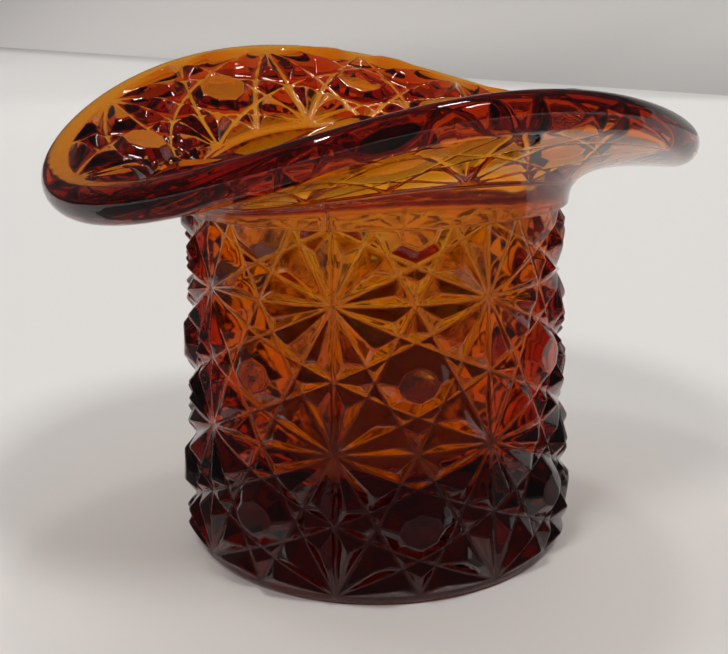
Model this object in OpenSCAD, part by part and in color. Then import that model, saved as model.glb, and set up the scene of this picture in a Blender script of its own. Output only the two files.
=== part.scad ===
// Glass hat: an amber hat of pressed glass that stands on its crown, brim up.
// The crown has a daisy-and-button relief on its outside, and the brim has one on its upper face.
// The hollow, the neck, the underside of the brim and the rounded rim are smooth.
// The glass is one pressing. Its zones are modelled as solids that meet face to face.

/* [Crown] */
// Radius to the bottom of the grooves, on average
crown_radius = 25.35; // [23.5:0.05:40]
// Radius gained from the neck down to the base
crown_spread = 2.3; // [0:0.1:4]
// Hollow of the crown's outline, half way up
crown_waist = 0.3; // [0:0.05:1]
// Height of the crown, from the table to the neck
crown_height = 46.5; // [30:0.5:80]
// Bevel round the bottom edge
base_bevel = 1.2; // [0.3:0.1:2]
// Turn of the crown's daisies from the X axis, in degrees
crown_turn = 7.9; // [0:0.1:45]

/* [Pattern] */
// Daisies in each row, round the hat
columns = 8; // [6:1:12]
// Full rows of daisies up the crown, between half daisies at the base and half buttons at the neck
crown_full_rows = 2; // [1:1:4]
// Height of the button tops above the grooves, on the crown
crown_relief = 1.6; // [0.4:0.05:2]
// Share of a button's width that is flat on top, on the crown
crown_button_flat = 0.52; // [0.3:0.02:0.8]
// Height of the button tops above the grooves, on the brim
brim_relief = 1.35; // [0.4:0.05:1.8]
// Share of a button's width that is flat on top, on the brim
brim_button_flat = 0.68; // [0.3:0.02:0.8]

/* [Hollow] */
// Radius of the hollow at its floor
floor_radius = 21; // [12:0.5:22]
// Radius of the hollow at its mouth
hollow_radius = 22.4; // [18:0.2:23.4]
// Rounding of the mouth's edge
mouth_round = 0.6; // [0.2:0.1:1.5]
// Height of the mouth's edge above the neck, on average
mouth_rise = 5.7; // [4.5:0.1:8]
// Rise of the mouth's edge below the turned-up sides
mouth_roll = 1.4; // [0:0.1:2]
// Rise of the mouth's edge on the side that the brim is shifted to
mouth_tilt = 1.5; // [0:0.1:2]

/* [Base] */
// Thickness of the glass under the middle of the hollow
base_thickness = 10; // [4:0.5:20]
// Rise of the dished floor at its edge
floor_dish = 3; // [1:0.5:6]

/* [Brim] */
// Radius to the middle of the rim, on average
brim_radius = 40.5; // [36:0.5:55]
// Radius gained at the two drooping ends
brim_oval = 0.8; // [0:0.1:3]
// Height of the middle of the rim above the neck, on average
brim_rise = 9.8; // [7.5:0.1:15]
// Rise of the turned-up sides and fall of the drooping ends
brim_roll = 5.8; // [0:0.1:7]
// Shift of the brim off the crown's axis
brim_shift = 4; // [0:0.1:5]
// Rise of the rim on the side that the brim is shifted to
brim_tilt = 2.7; // [0:0.1:4]
// Direction of the shift and the tilt, in degrees from the X axis
brim_lean = 70; // [0:1:360]
// Bulge of the upper face above a straight line from mouth to rim
face_bulge = 1.1; // [0:0.1:2]
// Narrowing of the inner half of the pattern, where the glass was stretched less
face_stretch = 0.34; // [0:0.02:0.6]
// Width of the smooth margin between the pattern and the rim
face_margin = 1.2; // [0.2:0.1:3]

/* [Neck and rim] */
// Height over which the neck starts to bend outwards
neck_rise = 3; // [2:0.1:6]
// Share of the brim's rise that the neck follows
neck_follow = 0.2; // [0.1:0.05:0.5]
// Share of the underside that runs almost straight in from the rim
neck_reach = 0.8; // [0.4:0.05:0.9]
// Thickness of the rounded rim
rim_thickness = 4.6; // [3:0.1:6]

/* [Hidden] */
amber = "#b5590f";
dark_amber = "#6e2c0b";
overlap = 1;
$fn = 96;

// Corners of one eighth of a pattern cell, from a daisy at [0, 0] to a button at [1/2, 1/2]
daisy = [0, 0];
groove_middle = [1/4, 0];
star = [1/2, 0];
ray_tip = [2/5, 1/5];
button_side = [1/2, 1/4];
button_corner = [1/3, 1/3];
button = [1/2, 1/2];

// Tops of the pyramids between the grooves
petal_top = [1/4, 1/4];
star_top = [1/2, 1/6];
ray_top = incentre(daisy, star, ray_tip);
chip_top = incentre(ray_tip, button_side, button_corner);

cell_angle = 360 / columns;
crown_half_rows = 2 * crown_full_rows + 1;
crown_rows = crown_half_rows / 2;
cell_height = (crown_height - base_bevel) / crown_rows;
collar_radius = groove_radius(crown_rows) + crown_relief;
mouth_radius = hollow_radius + mouth_round;
mouth_height = crown_height + mouth_rise;
brim_height = crown_height + brim_rise;
rim_round = rim_thickness / 2;
floor_edge = base_thickness + floor_dish;
ring_steps = 8 * columns;
underside_steps = 6;
rim_steps = 6;

// Pattern in cells: u runs round the hat and v runs across the rows

function incentre(a, b, c) =
    let (la = norm(b - c), lb = norm(c - a), lc = norm(a - b))
    (la * a + lb * b + lc * c) / (la + lb + lc);

function to_integer(x) = abs(x - round(x));

// Grooves run along the lines where u, v, u + 2v, u - 2v, v + 2u or v - 2u is a whole number
function groove_distance(p) =
    let (straight = min(to_integer(p[0]), to_integer(p[1])))
    let (shallow = min(to_integer(p[0] + 2 * p[1]), to_integer(p[0] - 2 * p[1])))
    let (steep = min(to_integer(p[1] + 2 * p[0]), to_integer(p[1] - 2 * p[0])))
    min(straight, min(shallow, steep) / sqrt(5));

// Rise of a groove's wall for each cell of distance from the groove
function groove_slope(relief, flat) = relief / ((1 - flat) * groove_distance(button));

function pattern_height(p, relief, flat) = min(relief, groove_slope(relief, flat) * groove_distance(p));

// Facets of one eighth of a cell, whose button is flat over this share of its width
function eighth(flat) =
    let (flat_side = button + flat * (button_side - button))
    let (flat_corner = button + flat * (button_corner - button))
    [
        [daisy, groove_middle, ray_top],
        [groove_middle, star, ray_top],
        [star, ray_tip, ray_top],
        [ray_tip, daisy, ray_top],
        [star, star_top, ray_tip],
        [ray_tip, star_top, button_side],
        [daisy, ray_tip, petal_top],
        [ray_tip, button_corner, petal_top],
        [ray_tip, button_side, chip_top],
        [button_side, button_corner, chip_top],
        [button_corner, ray_tip, chip_top],
        [button_side, flat_side, button_corner],
        [button_corner, flat_side, flat_corner],
        [flat_side, button, flat_corner]
    ];

function quarter(flat) = concat(eighth(flat), [for (t = eighth(flat)) swapped(t)]);

function swapped(t) = [for (k = [2, 1, 0]) [t[k][1], t[k][0]]];

function reversed(t) = [t[2], t[1], t[0]];

// Half steps go forward in even half cells and are mirrored in odd ones
function half_step(n, p) = n % 2 == 0 ? n / 2 + p : (n + 1) / 2 - p;

function placed(t, i, j, relief, flat) =
    let (moved = [for (p = t) [half_step(i, p[0]), half_step(j, p[1]), pattern_height(p, relief, flat)]])
    (i + j) % 2 == 0 ? moved : reversed(moved);

function lattice(half_rows, relief, flat) =
    let (facets = quarter(flat))
    [for (j = [0 : half_rows - 1], i = [0 : 2 * columns - 1], t = facets) placed(t, i, j, relief, flat)];

function quartered(t) =
    let (ab = (t[0] + t[1]) / 2, bc = (t[1] + t[2]) / 2, ca = (t[2] + t[0]) / 2)
    [[t[0], ab, ca], [ab, t[1], bc], [ca, bc, t[2]], [ab, bc, ca]];

// Surfaces from rings of points

function at(angle, radius, z) = [radius * cos(angle), radius * sin(angle), z];

// Triangles between two rings, the second one further clockwise round the section
function strip(first, second) =
    let (n = len(first))
    [for (k = [0 : n - 1], upper = [true, false])
        upper
            ? [first[k], second[k], second[(k + 1) % n]]
            : [first[k], second[(k + 1) % n], first[(k + 1) % n]]];

function strips(rings) =
    [for (k = [0 : len(rings) - 2], t = strip(rings[k], rings[k + 1])) t];

function fan(ring, middle) =
    let (n = len(ring))
    [for (k = [0 : n - 1]) [middle, ring[k], ring[(k + 1) % n]]];

module closed_surface(triangles) {
    polyhedron(
        points = [for (t = triangles, p = t) p],
        faces = [for (k = [0 : len(triangles) - 1]) [3 * k + 2, 3 * k + 1, 3 * k]],
        convexity = 10
    );
}

// Crown

function groove_radius(v) =
    let (s = 1/2 - v / crown_rows)
    crown_radius + crown_spread * s + crown_waist * (4 * s * s - 1/3);

function crown_angle(u) = crown_turn + (u % columns) * cell_angle;

function crown_point(p) =
    at(crown_angle(p[0]), groove_radius(p[1]) + p[2], base_bevel + p[1] * cell_height);

// Stops along the cut through the top row of buttons, from a star to a button
flat_stop = button[1] + crown_button_flat * (button_side[1] - button[1]);
neck_stops = [0, star_top[1], button_side[1], flat_stop, button[1]];

function neck_ring() =
    [for (i = [0 : 2 * columns - 1], k = [0 : 3])
        let (stop = neck_stops[i % 2 == 0 ? k : 4 - k])
        let (height = pattern_height([stop, 1/2], crown_relief, crown_button_flat))
        crown_point([half_step(i, stop), crown_rows, height])];

function foot_ring(inset, z) =
    [for (k = [0 : 4 * columns - 1])
        at(crown_angle(k / 4), groove_radius(0) - inset, z)];

function crown_surface() =
    concat(
        [for (t = lattice(crown_half_rows, crown_relief, crown_button_flat)) [for (p = t) crown_point(p)]],
        fan(neck_ring(), [0, 0, crown_height]),
        strip(foot_ring(0, base_bevel), foot_ring(base_bevel, 0)),
        [for (t = fan(foot_ring(base_bevel, 0), [0, 0, 0])) reversed(t)]
    );

// Hollow: a round taper from the floor's edge up to the mouth

function hollow_at(z) =
    floor_radius + (hollow_radius - floor_radius) * (z - floor_edge) / (mouth_height - floor_edge);

module hollow_cut() {
    rotate_extrude()
        polygon([
            [0, -overlap],
            [floor_radius, -overlap],
            [floor_radius, floor_edge],
            [hollow_at(crown_height + overlap), crown_height + overlap],
            [0, crown_height + overlap]
        ]);
}

// A ball that cuts a shallow round dish of this depth out of a face of this radius
module dish_cut(radius, depth) {
    ball = (radius * radius + depth * depth) / (2 * depth);
    translate([0, 0, ball - depth])
        sphere(r = ball, $fn = 200);
}

// Brim: each section runs from the mouth over the upper face, round the rim and back to the neck

function rim_radius(a) = brim_radius + brim_shift * cos(a - brim_lean) + brim_oval * cos(2 * a);

function rim_height(a) = brim_height + brim_tilt * cos(a - brim_lean) - brim_roll * cos(2 * a);

function mouth_edge(a) = mouth_height + mouth_tilt * cos(a - brim_lean) - mouth_roll * cos(2 * a);

// Slope of the upper face where it runs into the rim
function rim_slope(a) =
    atan2(rim_height(a) + rim_round - mouth_edge(a) - 4 * face_bulge, rim_radius(a) - mouth_radius);

function rim_section(a, turn) =
    [rim_radius(a) + rim_round * cos(turn), rim_height(a) + rim_round * sin(turn)];

// Point where the upper face meets the round of the rim
function face_end(a) = rim_section(a, rim_slope(a) + 90);

function face_reach(a) = face_end(a)[0] - mouth_radius;

function face_height(a, t) =
    mouth_edge(a) + t * (face_end(a)[1] - mouth_edge(a)) + 4 * face_bulge * t * (1 - t);

// Share of the way from the mouth to the rim at which the pattern's row v lies
function face_share(a, v) = v * (1 - face_stretch * (1 - v)) * (1 - face_margin / face_reach(a));

function face_point(p) =
    let (a = (p[0] % columns) * cell_angle, t = face_share(a, p[1]))
    at(a, mouth_radius + t * face_reach(a), face_height(a, t) + p[2]);

// Underside as a cubic curve from the upright neck to the rim
function underside_section(a, t) =
    let (slope = rim_slope(a), neck = [collar_radius, crown_height], end = rim_section(a, slope - 90))
    let (lift = neck_rise + neck_follow * max(0, end[1] - crown_height - neck_rise))
    let (reach = neck_reach * (end[0] - collar_radius))
    let (start_handle = neck + [0, lift], end_handle = end - reach * [cos(slope), sin(slope)])
    pow(1 - t, 3) * neck + 3 * pow(1 - t, 2) * t * start_handle
        + 3 * (1 - t) * t * t * end_handle + t * t * t * end;

function ring_angle(k) = 360 * k / ring_steps;

function face_ring(v) =
    [for (k = [0 : ring_steps - 1]) face_point([k / 8, v, 0])];

function rim_ring(share) =
    [for (k = [0 : ring_steps - 1])
        let (a = ring_angle(k), turn = rim_slope(a) + 90 - 180 * share)
        let (s = rim_section(a, turn))
        at(a, s[0], s[1])];

function underside_ring(t) =
    [for (k = [0 : ring_steps - 1])
        let (a = ring_angle(k), s = underside_section(a, t))
        at(a, s[0], s[1])];

function hollow_ring(share) =
    [for (k = [0 : ring_steps - 1])
        let (a = ring_angle(k), top = mouth_edge(a) - mouth_round)
        let (z = crown_height + share * (top - crown_height))
        at(a, hollow_at(z), z)];

function brim_face() =
    [for (t = lattice(2, brim_relief, brim_button_flat), s = quartered(t))
        [for (p = reversed(s)) face_point(p)]];

function brim_surface() =
    concat(
        brim_face(),
        strip(face_ring(1), rim_ring(0)),
        strip(rim_ring(0), underside_ring(1)),
        strips([for (k = [underside_steps : -1 : 0]) underside_ring(k / underside_steps)]),
        strips([underside_ring(0), hollow_ring(0), hollow_ring(1), face_ring(0)])
    );

function rim_surface() =
    concat(
        strips([for (k = [0 : rim_steps]) rim_ring(k / rim_steps)]),
        strip(rim_ring(1), rim_ring(0))
    );

// Thick glass under the hollow, with a dished floor on top and a flat face to stand on
module base() {
    color(dark_amber)
    difference() {
        cylinder(r = floor_radius, h = floor_edge + overlap);
        translate([0, 0, floor_edge])
            dish_cut(floor_radius, floor_dish);
    }
}

// Upright wall with the relief on its outside and the tapered hollow inside
module crown_wall() {
    color(amber)
    difference() {
        closed_surface(crown_surface());
        hollow_cut();
    }
}

// Flared zone with the relief on its upper face and a smooth underside
module brim() {
    color(amber)
        closed_surface(brim_surface());
}

// Rounded outer edge of the brim
module rim() {
    color(dark_amber)
        closed_surface(rim_surface());
}

base();
crown_wall();
brim();
rim();
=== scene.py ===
"""Amber pressed-glass hat, standing on its crown: one seamless glass mesh with a daisy-and-button relief."""
import math

import bpy
import numpy as np
from mathutils import Matrix, Vector


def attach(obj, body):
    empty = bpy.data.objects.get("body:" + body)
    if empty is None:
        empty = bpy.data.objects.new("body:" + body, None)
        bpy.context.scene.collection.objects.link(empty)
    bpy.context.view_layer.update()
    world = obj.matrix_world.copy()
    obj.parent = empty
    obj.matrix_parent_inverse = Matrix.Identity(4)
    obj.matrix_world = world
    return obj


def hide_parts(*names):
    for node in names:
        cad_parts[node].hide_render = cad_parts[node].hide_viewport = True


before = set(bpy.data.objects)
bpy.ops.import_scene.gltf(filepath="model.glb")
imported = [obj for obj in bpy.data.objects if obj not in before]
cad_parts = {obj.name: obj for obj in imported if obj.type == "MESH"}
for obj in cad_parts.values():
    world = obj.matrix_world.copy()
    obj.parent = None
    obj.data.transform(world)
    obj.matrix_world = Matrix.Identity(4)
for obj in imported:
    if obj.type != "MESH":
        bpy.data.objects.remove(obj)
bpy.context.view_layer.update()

MM = 0.001

# Sizes in millimetres and degrees, the same as in the part's source
CROWN_RADIUS = 25.35
CROWN_SPREAD = 2.3
CROWN_WAIST = 0.3
CROWN_HEIGHT = 46.5
BASE_BEVEL = 1.2
CROWN_TURN = math.radians(7.9)
COLUMNS = 8
CROWN_HALF_ROWS = 5
BRIM_HALF_ROWS = 2
CROWN_RELIEF = 1.6
CROWN_BUTTON_FLAT = 0.52
BRIM_RELIEF = 1.35
BRIM_BUTTON_FLAT = 0.68
FLOOR_RADIUS = 21.0
HOLLOW_RADIUS = 22.4
MOUTH_ROUND = 0.6
MOUTH_HEIGHT = CROWN_HEIGHT + 5.7
MOUTH_ROLL = 1.4
MOUTH_TILT = 1.5
BASE_THICKNESS = 10.0
FLOOR_DISH = 3.0
BRIM_RADIUS = 40.5
BRIM_OVAL = 0.8
BRIM_HEIGHT = CROWN_HEIGHT + 9.8
BRIM_ROLL = 5.8
BRIM_SHIFT = 4.0
BRIM_TILT = 2.7
BRIM_LEAN = math.radians(70.0)
FACE_BULGE = 1.1
FACE_STRETCH = 0.34
FACE_MARGIN = 1.2
NECK_RISE = 3.0
NECK_FOLLOW = 0.2
NECK_REACH = 0.8
RIM_ROUND = 2.3

# Softness of the pressed edges, in millimetres
RIDGE_SOFTNESS = 0.06
GROOVE_SOFTNESS = 0.08
CROWN_VALLEY = 0.30
BRIM_VALLEY = 0.55
FLOOR_FILLET = 2.5
FILLET_TURN = math.radians(75)
LEDGE_BEVEL = 0.08

# Rings under the hat, from its bevelled foot inwards: inset and height in millimetres
FOOT_RINGS = ((0.05, 0.75), (0.3, 0.3), (0.75, 0.07), (1.25, 0), (4, 0), (10, 0), (18, 0))

# Mould seams: fine upright fins on two opposite columns of daisies, in millimetres
SEAM_COLUMN = 1
SEAM_HEIGHT = 0.45
SEAM_WIDTH = 0.2

# Fineness of the mesh: rings along each curve, and shares of a curve at which rings stand
MARGIN_SHARES = (0.08, 0.2, 0.45, 0.7)
RIM_RINGS = 22
UNDERSIDE_RINGS = 14
UNDERSIDE_END = 0.5
NECK_RINGS = 18
NECK_START = 0.46
MOUTH_RINGS = 6
HOLLOW_RINGS = 24
FILLET_RINGS = 8
FLOOR_RINGS = 12

# Each facet is cut into rows that crowd towards its edges, where the glass is rounded
FACET_ROWS = 8
CROWDING = 1.4

# Points of the pattern that are the same to this fineness of a cell are joined
STEPS_PER_CELL = 10 ** 6

QUARTER_TURN = math.pi / 2
CELL_WIDTH = 2 * math.pi * CROWN_RADIUS / COLUMNS
CROWN_ROWS = CROWN_HALF_ROWS / 2
CELL_HEIGHT = (CROWN_HEIGHT - BASE_BEVEL) / CROWN_ROWS
CELL_ANGLE = 2 * math.pi / COLUMNS
MOUTH_RADIUS = HOLLOW_RADIUS + MOUTH_ROUND
FLOOR_EDGE = BASE_THICKNESS + FLOOR_DISH

# Pattern: one eighth of a cell, from a daisy at (0, 0) to a button at (1/2, 1/2)
DAISY = (0, 0)
GROOVE_MIDDLE = (1 / 4, 0)
STAR = (1 / 2, 0)
RAY_TIP = (2 / 5, 1 / 5)
BUTTON_SIDE = (1 / 2, 1 / 4)
BUTTON_CORNER = (1 / 3, 1 / 3)
BUTTON = (1 / 2, 1 / 2)
PETAL_TOP = (1 / 4, 1 / 4)
STAR_TOP = (1 / 2, 1 / 6)


def between(a, b, share):
    return (a[0] + share * (b[0] - a[0]), a[1] + share * (b[1] - a[1]))


def incentre(a, b, c):
    sides = math.dist(b, c), math.dist(c, a), math.dist(a, b)
    return tuple(sum(s * p[k] for s, p in zip(sides, (a, b, c))) / sum(sides) for k in range(2))


RAY_TOP = incentre(DAISY, STAR, RAY_TIP)
CHIP_TOP = incentre(RAY_TIP, BUTTON_SIDE, BUTTON_CORNER)


def quarter_cell(button_flat):
    """Facets of a quarter of a cell, whose button is flat over this share of its width."""
    flat_side = between(BUTTON, BUTTON_SIDE, button_flat)
    flat_corner = between(BUTTON, BUTTON_CORNER, button_flat)
    eighth = [
        (DAISY, GROOVE_MIDDLE, RAY_TOP),
        (GROOVE_MIDDLE, STAR, RAY_TOP),
        (STAR, RAY_TIP, RAY_TOP),
        (RAY_TIP, DAISY, RAY_TOP),
        (STAR, STAR_TOP, RAY_TIP),
        (RAY_TIP, STAR_TOP, BUTTON_SIDE),
        (DAISY, RAY_TIP, PETAL_TOP),
        (RAY_TIP, BUTTON_CORNER, PETAL_TOP),
        (RAY_TIP, BUTTON_SIDE, CHIP_TOP),
        (BUTTON_SIDE, BUTTON_CORNER, CHIP_TOP),
        (BUTTON_CORNER, RAY_TIP, CHIP_TOP),
        (BUTTON_SIDE, flat_side, BUTTON_CORNER),
        (BUTTON_CORNER, flat_side, flat_corner),
        (flat_side, BUTTON, flat_corner),
    ]
    return eighth + [tuple((q, p) for p, q in reversed(t)) for t in eighth]


def facet_grid():
    """Weights of the points on one facet, and the triangles between them."""
    weights = []
    number = {}
    for i in range(FACET_ROWS + 1):
        for j in range(FACET_ROWS + 1 - i):
            shares = np.array([FACET_ROWS - i - j, i, j]) / FACET_ROWS
            shares = shares ** CROWDING
            number[i, j] = len(weights)
            weights.append(shares / shares.sum())
    triangles = []
    for i in range(FACET_ROWS):
        for j in range(FACET_ROWS - i):
            triangles.append((number[i, j], number[i + 1, j], number[i, j + 1]))
            if i + j < FACET_ROWS - 1:
                triangles.append((number[i + 1, j], number[i + 1, j + 1], number[i, j + 1]))
    return np.array(weights), np.array(triangles)


def lattice(half_rows, button_flat):
    """Points (u, v) of the pattern in cells, and its triangles, round the hat and across these half rows."""
    weights, small = facet_grid()
    quarter = np.array(quarter_cell(button_flat), dtype=float)
    points = np.einsum("nk,fkd->fnd", weights, quarter).reshape(-1, 2)
    per_facet = len(weights)
    triangles = (small[None] + per_facet * np.arange(len(quarter))[:, None, None]).reshape(-1, 3)
    all_points = []
    all_triangles = []
    for j in range(half_rows):
        for i in range(2 * COLUMNS):
            u = i / 2 + points[:, 0] if i % 2 == 0 else (i + 1) / 2 - points[:, 0]
            v = j / 2 + points[:, 1] if j % 2 == 0 else (j + 1) / 2 - points[:, 1]
            start = len(points) * len(all_points)
            turned = triangles if (i + j) % 2 == 0 else triangles[:, ::-1]
            all_points.append(np.column_stack([u % COLUMNS, v]))
            all_triangles.append(turned + start)
    points = np.concatenate(all_points)
    triangles = np.concatenate(all_triangles)
    keys = np.round(points * STEPS_PER_CELL).astype(np.int64)
    keys[:, 0] %= COLUMNS * STEPS_PER_CELL
    _, first, place = np.unique(keys, axis=0, return_index=True, return_inverse=True)
    return points[first], place.reshape(-1)[triangles]


def boundary(points, ids, v):
    """Ring of the pattern's points on one of its edges, in order round the hat, with their u."""
    on_edge = np.flatnonzero(np.abs(points[:, 1] - v) < 1 / STEPS_PER_CELL)
    on_edge = on_edge[np.argsort(points[on_edge, 0])]
    return [ids[k] for k in on_edge], points[on_edge, 0]


def groove_wall(x, spacing, valley):
    """Rise of a groove's wall, in cells of distance from the edge of its narrow flat bottom."""
    distance = np.abs(x - np.round(x)) / spacing - valley / 2
    return (np.hypot(distance, GROOVE_SOFTNESS / CELL_WIDTH) + distance) / 2


def pattern_height(uv, relief, button_flat, valley_width):
    """Height above the grooves: walls of one slope, cut off flat at the button tops, with soft edges."""
    u, v = uv[:, 0], uv[:, 1]
    valley = valley_width / CELL_WIDTH
    slant = math.sqrt(5)
    slope = relief / ((1 - button_flat) * 0.5 / slant - valley / 2)
    walls = [
        groove_wall(u, 1, valley),
        groove_wall(v, 1, valley),
        groove_wall(u + 2 * v, slant, valley),
        groove_wall(u - 2 * v, slant, valley),
        groove_wall(v + 2 * u, slant, valley),
        groove_wall(v - 2 * u, slant, valley),
    ]
    total = np.exp(-relief / RIDGE_SOFTNESS) + sum(np.exp(-slope * w / RIDGE_SOFTNESS) for w in walls)
    return -RIDGE_SOFTNESS * np.log(total)


def seam(u):
    """Height of the mould seams' fins, which stand half the columns apart."""
    distance = CELL_WIDTH * ((u - SEAM_COLUMN + COLUMNS / 4) % (COLUMNS / 2) - COLUMNS / 4)
    return SEAM_HEIGHT * np.exp(-(distance / SEAM_WIDTH) ** 2)


class Shell:
    """Vertices and faces of the closed glass surface, put together from rings."""

    def __init__(self):
        self.points = []
        self.faces = []

    def add(self, points):
        start = len(self.points)
        self.points.extend(np.asarray(points, dtype=float).tolist())
        return list(range(start, len(self.points)))

    def add_ring(self, angles, radius, z):
        radius = np.broadcast_to(radius, np.shape(angles))
        z = np.broadcast_to(z, np.shape(angles))
        return self.add(np.column_stack([radius * np.cos(angles), radius * np.sin(angles), z]))

    def strip(self, first, second):
        """Faces between two rings of one size, the second one further clockwise round the section."""
        n = len(first)
        for k in range(n):
            m = (k + 1) % n
            self.faces.append((first[k], second[k], second[m], first[m]))

    def strips(self, rings):
        for first, second in zip(rings, rings[1:]):
            self.strip(first, second)

    def zip_rings(self, first, first_angles, second, second_angles):
        """Triangles between two rings whose points lie at different angles."""
        a = np.append(first_angles, first_angles[0] + 2 * math.pi)
        k = int(np.searchsorted(second_angles, a[0]))
        order = [(k + j) % len(second) for j in range(len(second) + 1)]
        b = np.unwrap(np.asarray(second_angles)[order])
        i = j = 0
        while i < len(first) or j < len(second):
            if j >= len(second) or (i < len(first) and a[i + 1] <= b[j + 1]):
                self.faces.append((first[i], second[order[j]], first[(i + 1) % len(first)]))
                i += 1
            else:
                self.faces.append((first[i % len(first)], second[order[j]], second[order[j + 1]]))
                j += 1

    def close(self, ring, middle, upwards):
        """Fan of triangles from a ring to its middle."""
        centre = self.add([middle])[0]
        n = len(ring)
        for k in range(n):
            m = (k + 1) % n
            self.faces.append((ring[k], ring[m], centre) if upwards else (ring[m], ring[k], centre))


def rim_radius(a):
    return BRIM_RADIUS + BRIM_SHIFT * np.cos(a - BRIM_LEAN) + BRIM_OVAL * np.cos(2 * a)


def rim_height(a):
    return BRIM_HEIGHT + BRIM_TILT * np.cos(a - BRIM_LEAN) - BRIM_ROLL * np.cos(2 * a)


def mouth_edge(a):
    return MOUTH_HEIGHT + MOUTH_TILT * np.cos(a - BRIM_LEAN) - MOUTH_ROLL * np.cos(2 * a)


def rim_slope(a):
    """Slope of the bulging upper face where it meets the rim."""
    rise = rim_height(a) + RIM_ROUND - mouth_edge(a) - 4 * FACE_BULGE
    return np.arctan2(rise, rim_radius(a) - MOUTH_RADIUS)


def rim_section(a, turn):
    return rim_radius(a) + RIM_ROUND * np.cos(turn), rim_height(a) + RIM_ROUND * np.sin(turn)


def face_section(a, t):
    """Radius and height of the upper face without its relief, from the mouth to the rim."""
    end_r, end_z = rim_section(a, rim_slope(a) + QUARTER_TURN)
    z = mouth_edge(a) + t * (end_z - mouth_edge(a)) + 4 * FACE_BULGE * t * (1 - t)
    return MOUTH_RADIUS + t * (end_r - MOUTH_RADIUS), z


def pattern_share(a):
    """Share of the upper face inside its smooth margin."""
    end_r, _ = rim_section(a, rim_slope(a) + QUARTER_TURN)
    return 1 - FACE_MARGIN / (end_r - MOUTH_RADIUS)


def groove_radius(v):
    """Radius of the crown at the bottom of its grooves: spread at the foot, with a slight waist."""
    s = 0.5 - v / CROWN_ROWS
    return CROWN_RADIUS + CROWN_SPREAD * s + CROWN_WAIST * (4 * s * s - 1 / 3)


COLLAR_RADIUS = groove_radius(CROWN_ROWS) + CROWN_RELIEF


def underside_section(a, t):
    """Radius and height of the smooth underside, a curve from the neck to the rim."""
    slope = rim_slope(a)
    end_r, end_z = rim_section(a, slope - QUARTER_TURN)
    lift = NECK_RISE + NECK_FOLLOW * np.maximum(0, end_z - CROWN_HEIGHT - NECK_RISE)
    reach = NECK_REACH * (end_r - COLLAR_RADIUS)
    w = (1 - t) ** 3, 3 * (1 - t) ** 2 * t, 3 * (1 - t) * t ** 2, t ** 3
    r = w[0] * COLLAR_RADIUS + w[1] * COLLAR_RADIUS + w[2] * (end_r - reach * np.cos(slope)) + w[3] * end_r
    z = (w[0] * CROWN_HEIGHT + w[1] * (CROWN_HEIGHT + lift)
         + w[2] * (end_z - reach * np.sin(slope)) + w[3] * end_z)
    return r, z


def hollow_at(z):
    return FLOOR_RADIUS + (HOLLOW_RADIUS - FLOOR_RADIUS) * (z - FLOOR_EDGE) / (MOUTH_HEIGHT - FLOOR_EDGE)


def add_crown(shell):
    """Crown with its relief and the mould seams. Gives its top and foot rings, each with its u."""
    uv, triangles = lattice(CROWN_HALF_ROWS, CROWN_BUTTON_FLAT)
    u, v = uv[:, 0], uv[:, 1]
    height = pattern_height(uv, CROWN_RELIEF, CROWN_BUTTON_FLAT, CROWN_VALLEY)
    radius = groove_radius(v) + height + seam(u)
    crown = shell.add_ring(CROWN_TURN + u * CELL_ANGLE, radius, BASE_BEVEL + v * CELL_HEIGHT)
    shell.faces.extend(tuple(crown[k] for k in t) for t in triangles)
    return boundary(uv, crown, CROWN_ROWS), boundary(uv, crown, 0)


def add_foot(shell, foot, angles):
    """Small bevel and the flat face under the base."""
    rings = [foot]
    for inset, z in FOOT_RINGS:
        rings.append(shell.add_ring(angles, groove_radius(0) - inset, z))
    shell.strips(rings)
    shell.close(rings[-1], (0, 0, 0), upwards=False)


def add_face(shell):
    """Upper face of the brim with its relief. Gives its outer and inner rings, each with its u."""
    uv, triangles = lattice(BRIM_HALF_ROWS, BRIM_BUTTON_FLAT)
    height = pattern_height(uv, BRIM_RELIEF, BRIM_BUTTON_FLAT, BRIM_VALLEY)
    angles = uv[:, 0] * CELL_ANGLE
    across = uv[:, 1] * (1 - FACE_STRETCH * (1 - uv[:, 1]))
    radius, z = face_section(angles, across * pattern_share(angles))
    face = shell.add_ring(angles, radius, z + height)
    shell.faces.extend(tuple(face[k] for k in reversed(t)) for t in triangles)
    return boundary(uv, face, 1), boundary(uv, face, 0)


def add_rim(shell, outer, angles):
    """Rounded rim, from the smooth margin at the pattern's end to the underside. Gives its last ring."""
    rings = [outer]
    for share in MARGIN_SHARES:
        t = pattern_share(angles) * (1 - share) + share
        rings.append(shell.add_ring(angles, *face_section(angles, t)))
    for turn in np.linspace(QUARTER_TURN, -QUARTER_TURN, RIM_RINGS):
        rings.append(shell.add_ring(angles, *rim_section(angles, rim_slope(angles) + turn)))
    for t in np.linspace(1, UNDERSIDE_END, UNDERSIDE_RINGS)[1:]:
        rings.append(shell.add_ring(angles, *underside_section(angles, t)))
    shell.strips(rings)
    return rings[-1]


def add_neck(shell, under, under_angles, top, top_u):
    """Smooth underside and neck, from the rim's last ring down to the ledge over the crown's pattern."""
    angles = CROWN_TURN + top_u * CELL_ANGLE
    rings = []
    for t in np.linspace(NECK_START, 0, NECK_RINGS):
        radius, z = underside_section(angles, t)
        rings.append(shell.add_ring(angles, radius + seam(top_u) * (1 - t / NECK_START), z))
    shell.zip_rings(under, under_angles, rings[0], angles)
    ledge = shell.add_ring(angles, COLLAR_RADIUS - LEDGE_BEVEL + seam(top_u), CROWN_HEIGHT - LEDGE_BEVEL)
    shell.strips(rings + [ledge, top])


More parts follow.
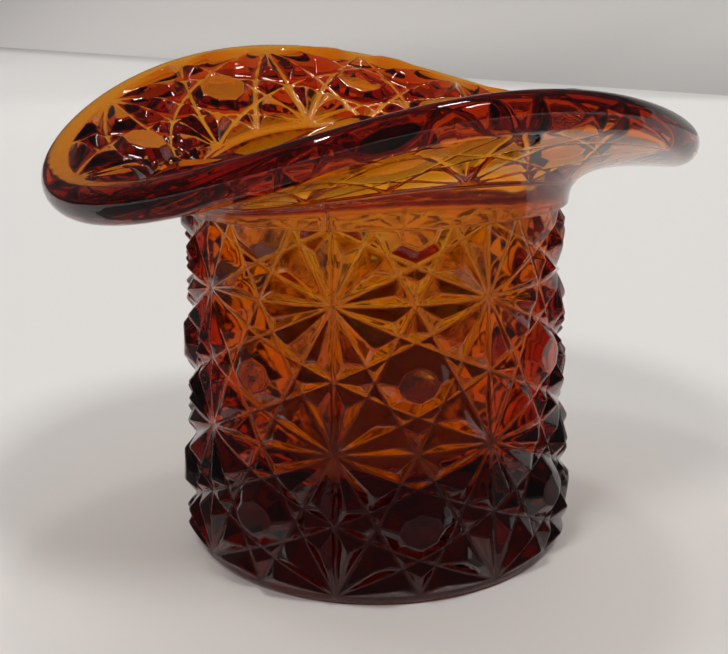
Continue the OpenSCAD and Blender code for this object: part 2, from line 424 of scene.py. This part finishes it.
def add_hollow(shell, inner, angles):
    """Rounded mouth, tapered hollow, fillet and dished floor."""
    edge = mouth_edge(angles)
    rings = [inner]
    for turn in np.linspace(0, QUARTER_TURN, MOUTH_RINGS)[1:]:
        rings.append(shell.add_ring(angles, MOUTH_RADIUS - MOUTH_ROUND * np.sin(turn),
                                    edge - MOUTH_ROUND * (1 - np.cos(turn))))
    top_z = edge - MOUTH_ROUND
    low_z = FLOOR_EDGE + FLOOR_FILLET
    for share in np.linspace(0, 1, HOLLOW_RINGS)[1:]:
        z = top_z + share * (low_z - top_z)
        rings.append(shell.add_ring(angles, hollow_at(z), z))
    fillet_centre = hollow_at(low_z) - FLOOR_FILLET
    for turn in np.linspace(0, FILLET_TURN, FILLET_RINGS)[1:]:
        floor_edge = fillet_centre + FLOOR_FILLET * math.cos(turn)
        floor_z = low_z - FLOOR_FILLET * math.sin(turn)
        rings.append(shell.add_ring(angles, floor_edge, floor_z))

    # The floor starts where the fillet ends
    sink = floor_z - BASE_THICKNESS
    for share in np.linspace(1, 0, FLOOR_RINGS)[1:-1]:
        rings.append(shell.add_ring(angles, floor_edge * share, BASE_THICKNESS + sink * share ** 2))
    shell.strips(rings[::-1])
    shell.close(rings[-1], (0, 0, BASE_THICKNESS), upwards=True)


def build_shell():
    shell = Shell()
    (top, top_u), (foot, foot_u) = add_crown(shell)
    add_foot(shell, foot, CROWN_TURN + foot_u * CELL_ANGLE)
    (outer, outer_u), (inner, inner_u) = add_face(shell)
    under = add_rim(shell, outer, outer_u * CELL_ANGLE)
    add_neck(shell, under, outer_u * CELL_ANGLE, top, top_u)
    add_hollow(shell, inner, inner_u * CELL_ANGLE)
    return shell


def add_noise(tree, place, scale, detail):
    noise = tree.nodes.new("ShaderNodeTexNoise")
    noise.inputs["Scale"].default_value = scale
    noise.inputs["Detail"].default_value = detail
    tree.links.new(place.outputs["Object"], noise.inputs["Vector"])
    return noise.outputs["Fac"]


def add_range(tree, value, start, end, first, last):
    """Turns a value between two bounds into one between two others."""
    span = tree.nodes.new("ShaderNodeMapRange")
    span.inputs["From Min"].default_value = start
    span.inputs["From Max"].default_value = end
    span.inputs["To Min"].default_value = first
    span.inputs["To Max"].default_value = last
    tree.links.new(value, span.inputs["Value"])
    return span


def add_ramp(tree, value, first, last):
    """Turns a value from 0 to 1 into a colour between two others."""
    ramp = tree.nodes.new("ShaderNodeValToRGB")
    ramp.color_ramp.elements[0].color = first
    ramp.color_ramp.elements[1].color = last
    tree.links.new(value, ramp.inputs["Fac"])
    return ramp


# Glass: its amber colour, which deepens with thickness, and the finish of its surfaces
GLASS_IOR = 1.52
AMBER_COLOUR = (0.935, 0.715, 0.02, 1)
AMBER_DENSITY = 900.0
STREAK_SCALE = 60.0
STREAK_TINT = (1.0, 0.985, 0.97, 1)
CLEAR_TINT = (1.0, 1.0, 1.0, 1)
PATCH_SCALE = 220.0
PATCH_RANGE = (0.35, 0.75)
BEST_POLISH = 0.01
WORST_POLISH = 0.06
HOLLOW_DULLNESS = 0.09
HOLLOW_DULL_TO = MM * (HOLLOW_RADIUS + 0.3)
HOLLOW_CLEAR_FROM = MM * (HOLLOW_RADIUS + 0.7)
WAVE_SCALE = 420.0
WAVE_STRENGTH = 0.8
WAVE_HEIGHT = 0.00005
SHARP_EDGE = math.radians(50)


def glass_material():
    material = bpy.data.materials.new("amber_glass")
    material.use_nodes = True
    tree = material.node_tree
    nodes = tree.nodes
    links = tree.links
    nodes.clear()
    output = nodes.new("ShaderNodeOutputMaterial")
    glass = nodes.new("ShaderNodeBsdfPrincipled")
    glass.inputs["Transmission Weight"].default_value = 1.0
    glass.inputs["IOR"].default_value = GLASS_IOR
    place = nodes.new("ShaderNodeTexCoord")

    # Faint streaks in the melt
    streaks = add_noise(tree, place, scale=STREAK_SCALE, detail=4.0)
    tint = add_ramp(tree, streaks, STREAK_TINT, CLEAR_TINT)
    links.new(tint.outputs["Color"], glass.inputs["Base Color"])

    # Fire polish with duller patches
    patches = add_noise(tree, place, scale=PATCH_SCALE, detail=3.0)
    polish = add_range(tree, patches, *PATCH_RANGE, BEST_POLISH, WORST_POLISH)

    # The hollow, pressed by the plunger, is a little duller than the outside
    flat = nodes.new("ShaderNodeVectorMath")
    flat.operation = "MULTIPLY"
    flat.inputs[1].default_value = (1, 1, 0)
    radius = nodes.new("ShaderNodeVectorMath")
    radius.operation = "LENGTH"
    links.new(place.outputs["Object"], flat.inputs[0])
    links.new(flat.outputs["Vector"], radius.inputs[0])
    inside = add_range(tree, radius.outputs["Value"], HOLLOW_DULL_TO, HOLLOW_CLEAR_FROM, HOLLOW_DULLNESS, 0.0)
    dullness = nodes.new("ShaderNodeMath")
    links.new(polish.outputs["Result"], dullness.inputs[0])
    links.new(inside.outputs["Result"], dullness.inputs[1])
    links.new(dullness.outputs["Value"], glass.inputs["Roughness"])

    # Slight waves left by the mould
    bump = nodes.new("ShaderNodeBump")
    bump.inputs["Strength"].default_value = WAVE_STRENGTH
    bump.inputs["Distance"].default_value = WAVE_HEIGHT
    waves = add_noise(tree, place, scale=WAVE_SCALE, detail=2.0)
    links.new(waves, bump.inputs["Height"])
    links.new(bump.outputs["Normal"], glass.inputs["Normal"])

    amber = nodes.new("ShaderNodeVolumeAbsorption")
    amber.inputs["Color"].default_value = AMBER_COLOUR
    amber.inputs["Density"].default_value = AMBER_DENSITY
    links.new(glass.outputs["BSDF"], output.inputs["Surface"])
    links.new(amber.outputs["Volume"], output.inputs["Volume"])
    return material


def build_hat():
    shell = build_shell()
    mesh = bpy.data.meshes.new("glass_hat")
    mesh.from_pydata([tuple(MM * c for c in p) for p in shell.points], [], shell.faces)
    mesh.validate()
    mesh.polygons.foreach_set("use_smooth", [True] * len(mesh.polygons))
    mesh.set_sharp_from_angle(angle=SHARP_EDGE)
    mesh.materials.append(glass_material())
    hat = bpy.data.objects.new("glass_hat", mesh)
    bpy.context.scene.collection.objects.link(hat)
    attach(hat, "root")
    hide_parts("base", "crown_wall", "brim", "rim")


# Camera, fitted to the photograph: the photograph's frame is the part's frame turned about Z
PHOTO_TURN = Matrix.Rotation(math.radians(-24.8), 4, "Z")
CAMERA_DISTANCE = 142.648
CAMERA_ELEVATION = 0.268431
CAMERA_ROLL = -0.0170928
CAMERA_AIM = (-1.63, 0, 28.335)
FOCAL_PIXELS = 1014.36
IMAGE_WIDTH = 728
SENSOR_WIDTH = 36.0


def build_camera():
    data = bpy.data.cameras.new("camera")
    data.sensor_width = SENSOR_WIDTH
    data.lens = FOCAL_PIXELS * SENSOR_WIDTH / IMAGE_WIDTH
    data.clip_start = 0.005
    data.clip_end = 50
    camera = bpy.data.objects.new("camera", data)
    bpy.context.scene.collection.objects.link(camera)
    back = Vector((0, -math.cos(CAMERA_ELEVATION), math.sin(CAMERA_ELEVATION)))
    aim = Vector(CAMERA_AIM) * MM
    look = (-back).to_track_quat("-Z", "Y").to_matrix().to_4x4()
    place = Matrix.Translation(aim + back * CAMERA_DISTANCE * MM)
    camera.matrix_world = PHOTO_TURN @ place @ look @ Matrix.Rotation(CAMERA_ROLL, 4, "Z")
    bpy.context.scene.camera = camera


# Stage, in metres in the photograph's frame: a pale table that meets a grey wall on a slanting line
TABLE_COLOURS = (0.765, 0.747, 0.731, 1), (0.785, 0.767, 0.751, 1)
# Painted light on the table far off, and painted shade where it meets the wall
TABLE_PAINTED_LIGHT_FAR = (0.95, 0.93, 0.91, 1)
TABLE_PAINTED_SHADE_AT_WALL = (0.60, 0.585, 0.57, 1)
WALL_COLOURS = (0.86, 0.825, 0.805, 1), (0.88, 0.845, 0.825, 1)
# Painted shade on the wall: darker on the right, darkest at its foot there
WALL_PAINTED_SHADE_RIGHT = (0.55, 0.53, 0.515, 1)
WALL_PAINTED_SHADE_FOOT = (0.42, 0.405, 0.395, 1)
# Painted shade: the dim card, seen only in reflections, in place of the shaded table in front of the hat
SHADE_CARD_COLOURS = (0.20, 0.195, 0.19, 1), (0.22, 0.215, 0.21, 1)
TABLE_LEVEL = -0.00005
TABLE_CORNERS = (-4, 6), (-4, -4), (4, -4), (4, 6)
BACKDROP_HEIGHT = 3
CARD_LEVEL = 0.0002
CARD_REACH = 0.35
CARD_DEPTH = 0.5
CARD_NOTCH = 0.034
WALL_LEFT_END = (-2.243, 4.535, 0.149)
WALL_RIGHT_END = (0.471, 1.175, TABLE_LEVEL)
TOWARDS_WALL = (0.778, 0.628, 0)


def plain_material(name, colours, scale):
    """A dull pale surface with faint patches of two colours."""
    material = bpy.data.materials.new(name)
    material.use_nodes = True
    tree = material.node_tree
    surface = tree.nodes["Principled BSDF"]
    surface.inputs["Roughness"].default_value = 0.7
    surface.inputs["Specular IOR Level"].default_value = 0.2
    place = tree.nodes.new("ShaderNodeTexCoord")
    patches = add_noise(tree, place, scale, detail=2.0)
    ramp = add_ramp(tree, patches, *colours)
    tree.links.new(ramp.outputs["Color"], surface.inputs["Base Color"])
    return material


def blend(material, way, start, end, colour):
    """Turns a plain material to another colour along a direction, between two distances in metres."""
    tree = material.node_tree
    colour_input = tree.nodes["Principled BSDF"].inputs["Base Color"]
    before = colour_input.links[0].from_socket
    place = tree.nodes.new("ShaderNodeTexCoord")
    along = tree.nodes.new("ShaderNodeVectorMath")
    along.operation = "DOT_PRODUCT"
    along.inputs[1].default_value = way
    tree.links.new(place.outputs["Object"], along.inputs[0])
    share = add_range(tree, along.outputs["Value"], start, end, 0.0, 1.0)
    share.interpolation_type = "SMOOTHSTEP"
    mix = tree.nodes.new("ShaderNodeMix")
    mix.data_type = "RGBA"
    mix.inputs["B"].default_value = colour
    tree.links.new(share.outputs["Result"], mix.inputs["Factor"])
    tree.links.new(before, mix.inputs["A"])
    tree.links.new(mix.outputs["Result"], colour_input)


def add_plane(name, corners, material):
    mesh = bpy.data.meshes.new(name)
    mesh.from_pydata(corners, [], [tuple(range(len(corners)))])
    mesh.materials.append(material)
    plane = bpy.data.objects.new(name, mesh)
    bpy.context.scene.collection.objects.link(plane)
    plane.matrix_world = PHOTO_TURN
    return plane


def build_stage():
    table = plain_material("pale_table_painted_light_shade", TABLE_COLOURS, scale=3.0)
    wall = plain_material("grey_wall_painted_shade", WALL_COLOURS, scale=1.0)

    # Painted shade: the wall is darker on the right and darkest at its foot there
    blend(wall, (1, 0, 0), start=-1.3, end=0.7, colour=WALL_PAINTED_SHADE_RIGHT)
    blend(wall, (0.05, 0, -1), start=-0.106, end=0.034, colour=WALL_PAINTED_SHADE_FOOT)

    # Painted light and shade: the table pales with distance and darkens close to the wall
    blend(table, (0, 1, 0), start=0.9, end=3.0, colour=TABLE_PAINTED_LIGHT_FAR)
    blend(table, TOWARDS_WALL, start=0.95, end=1.104, colour=TABLE_PAINTED_SHADE_AT_WALL)

    low = TABLE_LEVEL
    add_plane("table", [(*corner, low) for corner in TABLE_CORNERS], table)
    add_plane("table_rise", [(-2.6, 1.5, low), WALL_RIGHT_END, WALL_LEFT_END], table)
    wall_corners = [WALL_LEFT_END, WALL_RIGHT_END, (1.32, 0.125, -0.05), (4.5, 3.6, 3), (-1, 9, 3)]
    add_plane("wall", wall_corners, wall)

    # Backdrop round the table's other sides, for other views; neither glass nor table is lit by it
    pale = plain_material("pale_backdrop", TABLE_COLOURS, scale=3.0)
    for start, end in zip(TABLE_CORNERS, TABLE_CORNERS[1:]):
        outline = [(*start, low), (*end, low), (*end, BACKDROP_HEIGHT), (*start, BACKDROP_HEIGHT)]
        side = add_plane("backdrop", outline, pale)
        side.visible_diffuse = False
        side.visible_glossy = False
        side.visible_transmission = False
        side.visible_shadow = False


def build_shade_card():
    """Painted shade: a dim card on the table where the photographer stood, cut out round the hat and seen
    only in reflections, standing in for the shaded table there.
    """
    dim = plain_material("painted_shade_card", SHADE_CARD_COLOURS, scale=8.0)
    outline = [
        (-CARD_REACH, -CARD_DEPTH),
        (CARD_REACH, -CARD_DEPTH),
        (CARD_REACH, 0),
        (CARD_NOTCH, 0),
        (CARD_NOTCH, -CARD_NOTCH),
        (-CARD_NOTCH, -CARD_NOTCH),
        (-CARD_NOTCH, 0),
        (-CARD_REACH, 0),
    ]
    card = add_plane("card", [(x, y, CARD_LEVEL) for x, y in outline], dim)
    card.visible_camera = False
    card.visible_diffuse = False
    card.visible_transmission = False
    card.visible_shadow = False


# Lamps, in metres in the photograph's frame
LAMP_COLOUR = (1, 0.987, 0.97)
LEFT_LAMP = (-2.2, -3.1, 4.6)
RIGHT_LAMP = (2.3, -1.9, 5.2)
BACK_LAMP = Vector((0.2, 0.75, 2.3))
WALL_AIM = (-1.0, 3.2, 0.1)


def add_area_light(name, place, size, watts, aim=(0, 0, 0), glints=False, through=False):
    """A flat light, which the glass may mirror (glints) or show (through)."""
    data = bpy.data.lights.new(name, "AREA")
    data.shape = "RECTANGLE"
    data.size, data.size_y = size
    data.energy = watts
    data.color = LAMP_COLOUR
    lamp = bpy.data.objects.new(name, data)
    bpy.context.scene.collection.objects.link(lamp)
    way = (Vector(aim) - Vector(place)).to_track_quat("-Z", "Y").to_matrix().to_4x4()
    lamp.matrix_world = PHOTO_TURN @ Matrix.Translation(Vector(place)) @ way
    lamp.visible_camera = False
    lamp.visible_glossy = glints
    lamp.visible_transmission = through


def build_lamps():
    """Soft lamps light the stage, two behind the hat shine through it, and small ones make the glints."""
    add_area_light("left_soft", LEFT_LAMP, size=(1.2, 1.2), watts=102)
    add_area_light("right_soft", RIGHT_LAMP, size=(1.2, 1.2), watts=90)
    add_area_light("back_soft", BACK_LAMP, size=(2.0, 2.0), watts=9, through=True)
    add_area_light("back_panel", (0, 1.1, 0.62), size=(1.0, 1.0), watts=1.05, through=True)
    add_area_light("wall_soft", (-0.8, 1.4, 2.4), size=(1.2, 1.2), watts=15.5, aim=WALL_AIM)
    add_area_light("left_small", (-1.86, 0.2, 4.64), size=(0.8, 0.3), watts=22, glints=True)
    add_area_light("right_small", (1.57, -1.02, 4.64), size=(0.8, 0.3), watts=22, glints=True)
    add_area_light("back_small", BACK_LAMP * 0.9, size=(0.22, 0.22), watts=4, glints=True)


# Dim room: its light near the table's level and overhead
ROOM_LIGHT = (0.062, 0.061, 0.06, 1)
DOME_LIGHT = (0.072, 0.071, 0.07, 1)


def build_world():
    """Soft light from above, and a slightly dimmer room round the table."""
    world = bpy.data.worlds.new("studio")
    world.use_nodes = True
    tree = world.node_tree
    way = tree.nodes.new("ShaderNodeTexCoord")
    parts = tree.nodes.new("ShaderNodeSeparateXYZ")
    tree.links.new(way.outputs["Generated"], parts.inputs["Vector"])
    dome = add_ramp(tree, parts.outputs["Z"], ROOM_LIGHT, DOME_LIGHT)
    dome.color_ramp.elements[0].position = 0.05
    dome.color_ramp.elements[1].position = 0.75
    tree.links.new(dome.outputs["Color"], tree.nodes["Background"].inputs["Color"])
    bpy.context.scene.world = world


build_hat()
build_camera()
build_stage()
build_world()
build_lamps()
build_shade_card()

scene = bpy.context.scene
scene.view_settings.view_transform = "Standard"
scene.cycles.max_bounces = 32
scene.cycles.transmission_bounces = 32
scene.cycles.glossy_bounces = 16
